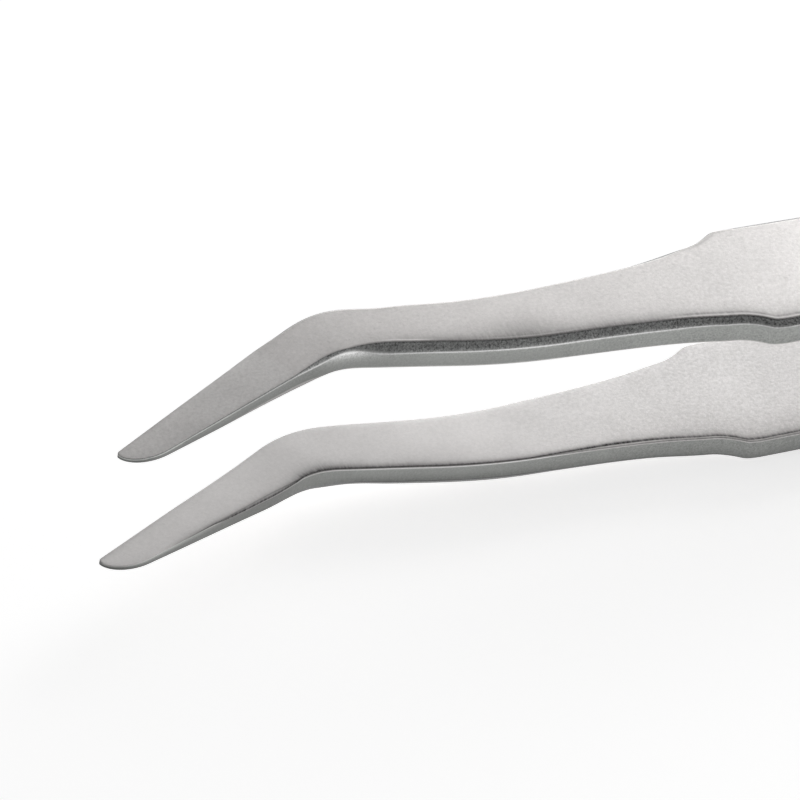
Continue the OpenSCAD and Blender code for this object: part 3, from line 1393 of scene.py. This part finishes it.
    def cap_pairs(self) -> int:
        """Number of column pairs that face each other across an end."""
        return (self.bottom_steps + self.edge_columns + self.corner_steps
                + self.bevel_columns + self.fillet_steps)

    def cap(self, ring: Array) -> list[list[int]]:
        """Close one end with strips across it, from the near side to the far side.

        The lowest and the highest strip take in the ends of the faces' columns.

        Args:
            ring: point numbers of the end's loop.

        Returns:
            The faces, turned the same way as the loop.
        """
        pairs = self.cap_pairs()
        near, outer, far, inner = np.split(ring, np.cumsum([pairs, self.face_columns, pairs]))
        far = far[::-1]
        strips = np.stack([near[:-1], near[1:], far[1:], far[:-1]], axis=1).tolist()
        strips[0] += inner.tolist()
        strips[-1][2:2] = outer.tolist()
        return strips


@dataclass
class Tweezers:
    """The pair of legs with their finishes."""

    skin: LegSkin = field(default_factory=LegSkin)

    FINISHES: ClassVar[dict[Band, Steel]] = {
        Band.OUTER_FACE: BLASTED, Band.INNER_FACE: INSIDE, Band.BEVEL: SHADED_GROUND,
        Band.CORNER: SHADED_CORNER, Band.EDGE: SHADED_SHEARED}

    def build(self) -> list[bpy.types.Object]:
        """Make both legs and let them stand for the solids.

        Returns:
            The two leg objects.
        """
        finishes = {band: steel.build() for band, steel in self.FINISHES.items()}
        made = []
        for leg in Leg:
            piece = self.skin.build(leg, finishes)
            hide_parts(f"{leg.name.lower()}_leg")
            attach(piece, "root")
            made.append(piece)
        return made


@dataclass(frozen=True)
class Softbox:
    """One area lamp that looks at a point of the tweezers."""

    name: str
    azimuth: float
    power: float
    elevation: float = 15.0
    distance: float = 300.0
    size: float = 150.0
    aim: tuple[float, float, float] = (-35.0, 0.0, 6.0)

    def build(self) -> bpy.types.Object:
        """Hang the lamp.

        Formula: the aim plus the distance along the direction of the azimuth,
        counted from +X, and the elevation.

        Returns:
            The lamp object.
        """
        lamp = bpy.data.lights.new(self.name, "AREA")
        lamp.shape, lamp.size, lamp.size_y = "RECTANGLE", self.size * MM, self.size * MM
        lamp.energy = self.power
        holder = bpy.data.objects.new(self.name, lamp)
        a, e = np.radians(self.azimuth), np.radians(self.elevation)
        way = Vector((np.cos(a) * np.cos(e), np.sin(a) * np.cos(e), np.sin(e)))
        at = Vector(self.aim) * MM + way * self.distance * MM
        holder.matrix_world = Matrix.Translation(at) @ way.to_track_quat("Z", "Y").to_matrix().to_4x4()
        bpy.context.collection.objects.link(holder)
        return holder


@dataclass(frozen=True)
class Studio:
    """Pale floor, plain soft light and the camera at the photograph's angle."""

    azimuth: float = -32.232
    elevation: float = 38.972
    roll: float = 11.259
    scale: float = 17.607
    distance: float = 450.0
    target: tuple[float, float, float] = (20.0, 0.0, 0.0)
    target_pixel: tuple[float, float] = (405.73, 405.14)
    frame_pixels: int = 800
    sensor: float = 36.0
    surround: float = 0.30
    front_tone: float = 0.30
    back_tone: float = 0.40
    clip: tuple[float, float] = (10.0, 20000.0)
    floor_tone: float = 0.80
    floor_glow: float = 0.65
    floor_roughness: float = 0.9
    floor_reach: float = 3000.0
    behind_step: tuple[float, float] = (-0.3, 0.8)
    horizon_step: tuple[float, float] = (0.05, 0.35)
    lamps: tuple[Softbox, ...] = (
        Softbox("side_softbox", azimuth=30.0, power=0.449),
        Softbox("rear_softbox", azimuth=60.0, power=0.140),
    )

    def camera(self, pose: RestPose) -> bpy.types.Object:
        """Set the camera.

        Formula: the viewing direction comes from the azimuth and elevation about
        the untilted legs, is rolled about itself, and is turned by the rest pose
        with them; the lens is the picture scale times the distance over the width
        of the frame.

        Args:
            pose: the rest pose of the tweezers.

        Returns:
            The camera object.
        """
        a, e, r = np.radians([self.azimuth, self.elevation, self.roll])
        back = np.array([np.sin(a) * np.cos(e), -np.cos(a) * np.cos(e), np.sin(e)])
        level = np.array([np.cos(a), np.sin(a), 0.0])
        rise = np.cross(back, level)
        right = np.cos(r) * level + np.sin(r) * rise
        up = -np.sin(r) * level + np.cos(r) * rise
        half = self.frame_pixels / 2.0
        aim = (np.array(self.target) + right * (half - self.target_pixel[0]) / self.scale
               + up * (self.target_pixel[1] - half) / self.scale)
        axes = pose.turn(np.stack([right, up, back]))
        at = pose.place((aim + back * self.distance)[None])[0]
        lens = bpy.data.cameras.new("photo_camera")
        lens.sensor_width = self.sensor
        lens.lens = self.scale * self.distance / self.frame_pixels * self.sensor
        lens.clip_start, lens.clip_end = self.clip[0] * MM, self.clip[1] * MM
        holder = bpy.data.objects.new("photo_camera", lens)
        holder.matrix_world = (Matrix.Translation(Vector(at))
                               @ Matrix(axes.T.tolist()).to_4x4())
        bpy.context.collection.objects.link(holder)
        bpy.context.scene.camera = holder
        return holder

    def floor(self) -> bpy.types.Object:
        """Lay the pale floor, which shows nearly white and keeps the shadow.

        Returns:
            The floor object.
        """
        g = Graph("pale_floor")
        matt = g.node("ShaderNodeBsdfPrincipled", {}, {
            "Base Color": (*(self.floor_tone,) * 3, 1.0), "Roughness": self.floor_roughness,
            "Specular IOR Level": 0.0})
        glow = g.node("ShaderNodeEmission", {}, {"Color": WHITE,
                                                 "Strength": g.seen() * self.floor_glow})
        material = g.finish(g.node("ShaderNodeAddShader", {}, {0: matt, 1: glow}))
        reach = self.floor_reach * MM
        mesh = bpy.data.meshes.new("floor")
        mesh.from_pydata([(-reach, -reach, 0), (reach, -reach, 0), (reach, reach, 0),
                          (-reach, reach, 0)], [], [(0, 1, 2, 3)])
        mesh.materials.append(material)
        floor = bpy.data.objects.new("floor", mesh)
        bpy.context.collection.objects.link(floor)
        return floor

    def world(self) -> None:
        """Give the room a white horizon and a soft grey ceiling, paler behind.

        Formula: the ceiling's tone steps smoothly from the front tone to the back
        tone with how far a direction points away from the camera's side, and gives
        way to white with its nearness to the horizon.  The camera and mirrored rays
        see this room, and the object is otherwise lit by one even tone.
        """
        g = Graph("soft_room", Tree.WORLD)
        way = g.node("ShaderNodeTexCoord", {}, {}, "Generated")
        a = np.radians(self.azimuth)
        behind = g.node("ShaderNodeVectorMath", {"operation": "DOT_PRODUCT"},
                        {0: way, 1: (-np.sin(a), np.cos(a), 0.0)}, "Value")
        height = g.node("ShaderNodeSeparateXYZ", {}, {0: way}, "Z")
        ceiling = (self.front_tone + behind.between(*self.behind_step)
                   * (self.back_tone - self.front_tone))
        tone = ceiling + (1.0 - height.between(*self.horizon_step)) * (1.0 - ceiling)
        room = g.node("ShaderNodeBackground", {}, {"Color": WHITE, "Strength": tone})
        fill = g.node("ShaderNodeBackground", {}, {"Color": WHITE, "Strength": self.surround})
        bpy.context.scene.world = g.finish(
            g.node("ShaderNodeMixShader", {}, {0: g.seen(), 1: fill, 2: room}))

    def build(self, pose: RestPose) -> None:
        """Set floor, world, lamps and camera.

        Args:
            pose: the rest pose of the tweezers.
        """
        self.floor()
        self.world()
        for lamp in self.lamps:
            lamp.build()
        self.camera(pose)
        bpy.context.scene.view_settings.view_transform = "Standard"


def main() -> None:
    """Build the camera, the studio and the tweezers."""
    logging.basicConfig(level=logging.INFO, format="%(message)s")
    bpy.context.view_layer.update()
    tweezers = Tweezers()
    Studio().build(tweezers.skin.pose)
    LOG.info("studio: floor, lamps and camera")
    for piece in tweezers.build():
        LOG.info("piece: %s", piece.name)


if __name__ == "__main__":
    main()
